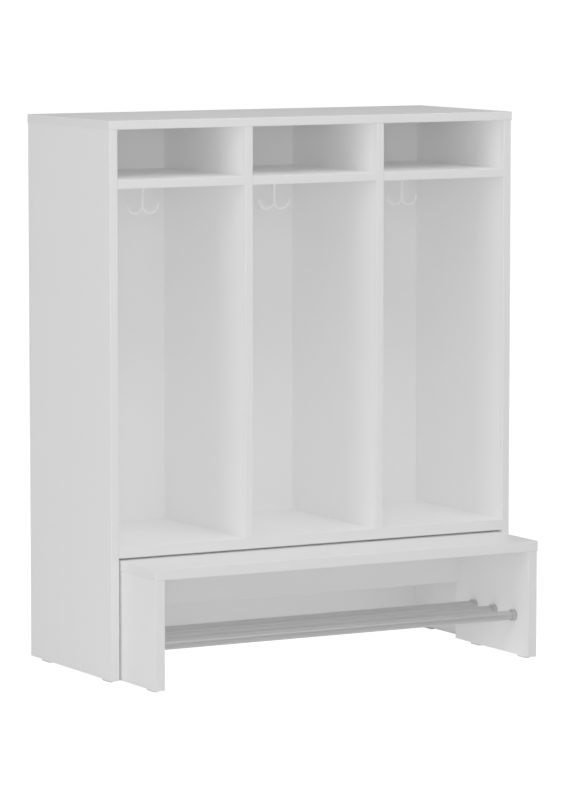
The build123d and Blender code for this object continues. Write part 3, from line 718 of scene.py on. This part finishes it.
def hook_piece(name):
    """Plate, flared stem and two arms, joined into one skin with softened inner corners.

    The stem is a turned shape: a quarter-circle flare under the plate, a straight shank and a domed
    end inside the arms. Voxels join the five closed parts, and smoothing softens where they meet.
    """
    node = f"{name}_coat_hook"
    low, high = (np.array(corner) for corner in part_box(node))
    length = 2 * (HOOK_SCREW_REACH + HOOK_SCREW_END)
    width = high[1] - low[1]
    plate_low = high[2] - HOOK_PLATE
    drop = plate_low - low[2] - HOOK_BEND - HOOK_ARM
    stem = lathe([
        *arc((HOOK_STEM + HOOK_FLARE, HOOK_FLARE), -HOOK_FLARE, 90, 0, 8),
        *((HOOK_STEM, z) for z in np.linspace(HOOK_FLARE, drop, 12)[1:]),
        *arc((0, drop), HOOK_STEM, 10, 80, 6)], HOOK_POINTS)
    stem[:, :, 2] *= -1
    root = lathe([(HOOK_STEM + HOOK_FLARE, HOOK_PLATE / 2)], HOOK_POINTS)
    parts = [skin(half_plate(side, length, width), closed=True) for side in (-1, 1)]
    parts.append(skin(np.vstack([root, stem])))
    parts += [skin(hook_arm(side, drop)) for side in (-1, 1)]
    middle = np.array([(low[0] + high[0]) / 2, (low[1] + high[1]) / 2, plate_low])
    skins = [(points + middle, quads, caps) for points, quads, caps in parts]
    made = piece(f"{name}_double_hook", node, skins, powder_coat)
    joined = made.modifiers.new("join", "REMESH")
    joined.mode = "VOXEL"
    joined.voxel_size = HOOK_GRAIN
    softened = made.modifiers.new("soften", "SMOOTH")
    softened.factor = 0.5
    softened.iterations = 5
    graph = bpy.context.evaluated_depsgraph_get()
    final = bpy.data.meshes.new_from_object(made.evaluated_get(graph))
    made.modifiers.clear()
    made.data = final
    final.shade_smooth()
    final.materials.clear()
    final.materials.append(powder_coat)
    return made


for name in ("left", "middle", "right"):
    hook_piece(name)

# ---------------------------------------------------------------- studio
DISPLAY_GAMMA = 1.8  # lifts the shade inside the bays and under the bench
WORLD_LIGHT = 0.02  # what the surroundings give the object; the eye sees them white
PAPER_GLOW = 1.02  # what the floor adds to its own shade for the eye alone
LIGHTS = (  # name, place, aim, width, height, watts
    ("front", (-0.6, -4.0, 1.4), (0, 0, 0.6), 3.0, 2.2, 11.0),
    ("front_steep", (-0.3, -2.2, 4.0), (0, 0, 0.4), 2.0, 1.6, 29.0),
    ("camera_side", (-2.3, -4.2, 1.3), (0, 0, 0.6), 1.6, 1.6, 19.5),
    ("corner_high", (-2.7, -2.7, 3.0), (0, 0, 0.6), 1.6, 1.6, 9.4),
    ("right_high", (1.8, -3.2, 3.2), (0, 0, 0.5), 2.0, 1.6, 18.5),
    ("left_side", (-4.2, -0.6, 1.4), (0, 0, 0.6), 2.4, 2.2, 45.0),
    ("overhead", (0.0, -0.2, 4.2), (0, 0, 0.5), 3.0, 3.0, 25.0),
    ("bays_fill", (0.0, -0.1, 0.63), (0, 1.0, 0.63), 0.9, 0.72, 0.18),
    ("cubbies_fill", (0.0, -0.1, 1.067), (0, 1.0, 1.067), 0.9, 0.1, 0.05),
    ("niche_fill", (0.0, -0.02, 0.001), (0, -0.02, 1.0), 0.86, 0.46, 0.33),
    ("rear", (0.9, 4.0, 0.55), (0.1, 0.2, 0.55), 2.4, 1.0, 26.0),
    ("right_side", (4.2, 0.6, 0.55), (0.4, 0, 0.55), 2.4, 1.0, 26.0),
)
scene = bpy.context.scene
scene.view_settings.view_transform = "Standard"
scene.view_settings.gamma = DISPLAY_GAMMA

for name, place, aim, width, height, watts in LIGHTS:
    lamp = bpy.data.lights.new(name, "AREA")
    lamp.shape = "RECTANGLE"
    lamp.size, lamp.size_y, lamp.energy = width, height, watts
    holder = bpy.data.objects.new(name, lamp)
    scene.collection.objects.link(holder)
    holder.location = place
    holder.rotation_euler = (Vector(aim) - Vector(place)).to_track_quat("-Z", "Y").to_euler()
    holder.visible_camera = False

world = bpy.data.worlds.new("white_studio")
world.use_nodes = True
scene.world = world
seen = add(world.node_tree, "ShaderNodeLightPath").outputs["Is Camera Ray"]
strength = add(world.node_tree, "ShaderNodeMapRange", {
    "Value": seen, "To Min": WORLD_LIGHT, "To Max": 1.0}).outputs["Result"]
sky = world.node_tree.nodes["Background"]
sky.inputs["Color"].default_value = (1.0, 1.0, 1.0, 1.0)
world.node_tree.links.new(strength, sky.inputs["Strength"])

FLOOR_REACH = 120.0
floor_mesh = bpy.data.meshes.new("paper_floor")
corners = [(x * FLOOR_REACH, y * FLOOR_REACH, 0.0) for x, y in ((-1, -1), (1, -1), (1, 1), (-1, 1))]
floor_mesh.from_pydata(corners, [], [(0, 1, 2, 3)])
floor = bpy.data.objects.new("paper_floor", floor_mesh)
scene.collection.objects.link(floor)
# Matt paper from a roll: flat white with no gloss, so the object stands on an even ground.
paper, paper_tree, paper_shader = surface(
    "white_paper_roll", Base_Color=linear("#e7e7e7"), Emission_Color=(1.0, 1.0, 1.0, 1.0),
    Roughness=0.9, Specular_IOR_Level=0.0)
paper_seen = add(paper_tree, "ShaderNodeLightPath").outputs["Is Camera Ray"]
glow = add(paper_tree, "ShaderNodeMath", {0: paper_seen, 1: PAPER_GLOW}, operation="MULTIPLY")
paper_tree.links.new(glow.outputs[0], paper_shader.inputs["Emission Strength"])
floor_mesh.materials.append(paper)
floor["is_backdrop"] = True

VIEW_AZIMUTH = 28.923  # degrees that the view turns from +Y towards +X
VIEW_PITCH = -6.040
CAMERA_PLACE = (-4.5169, -8.1479, 1.5286)
CAMERA_LENS, CAMERA_SENSOR = 202.7, 36.0
camera = bpy.data.objects.new("camera", bpy.data.cameras.new("camera"))
scene.collection.objects.link(camera)
camera.data.sensor_width = CAMERA_SENSOR
camera.data.lens = CAMERA_LENS
azimuth, pitch = math.radians(VIEW_AZIMUTH), math.radians(VIEW_PITCH)
level = math.cos(pitch)
view = Vector((math.sin(azimuth) * level, math.cos(azimuth) * level, math.sin(pitch)))
camera.location = CAMERA_PLACE
camera.rotation_euler = view.to_track_quat("-Z", "Y").to_euler()
scene.camera = camera

low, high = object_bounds()
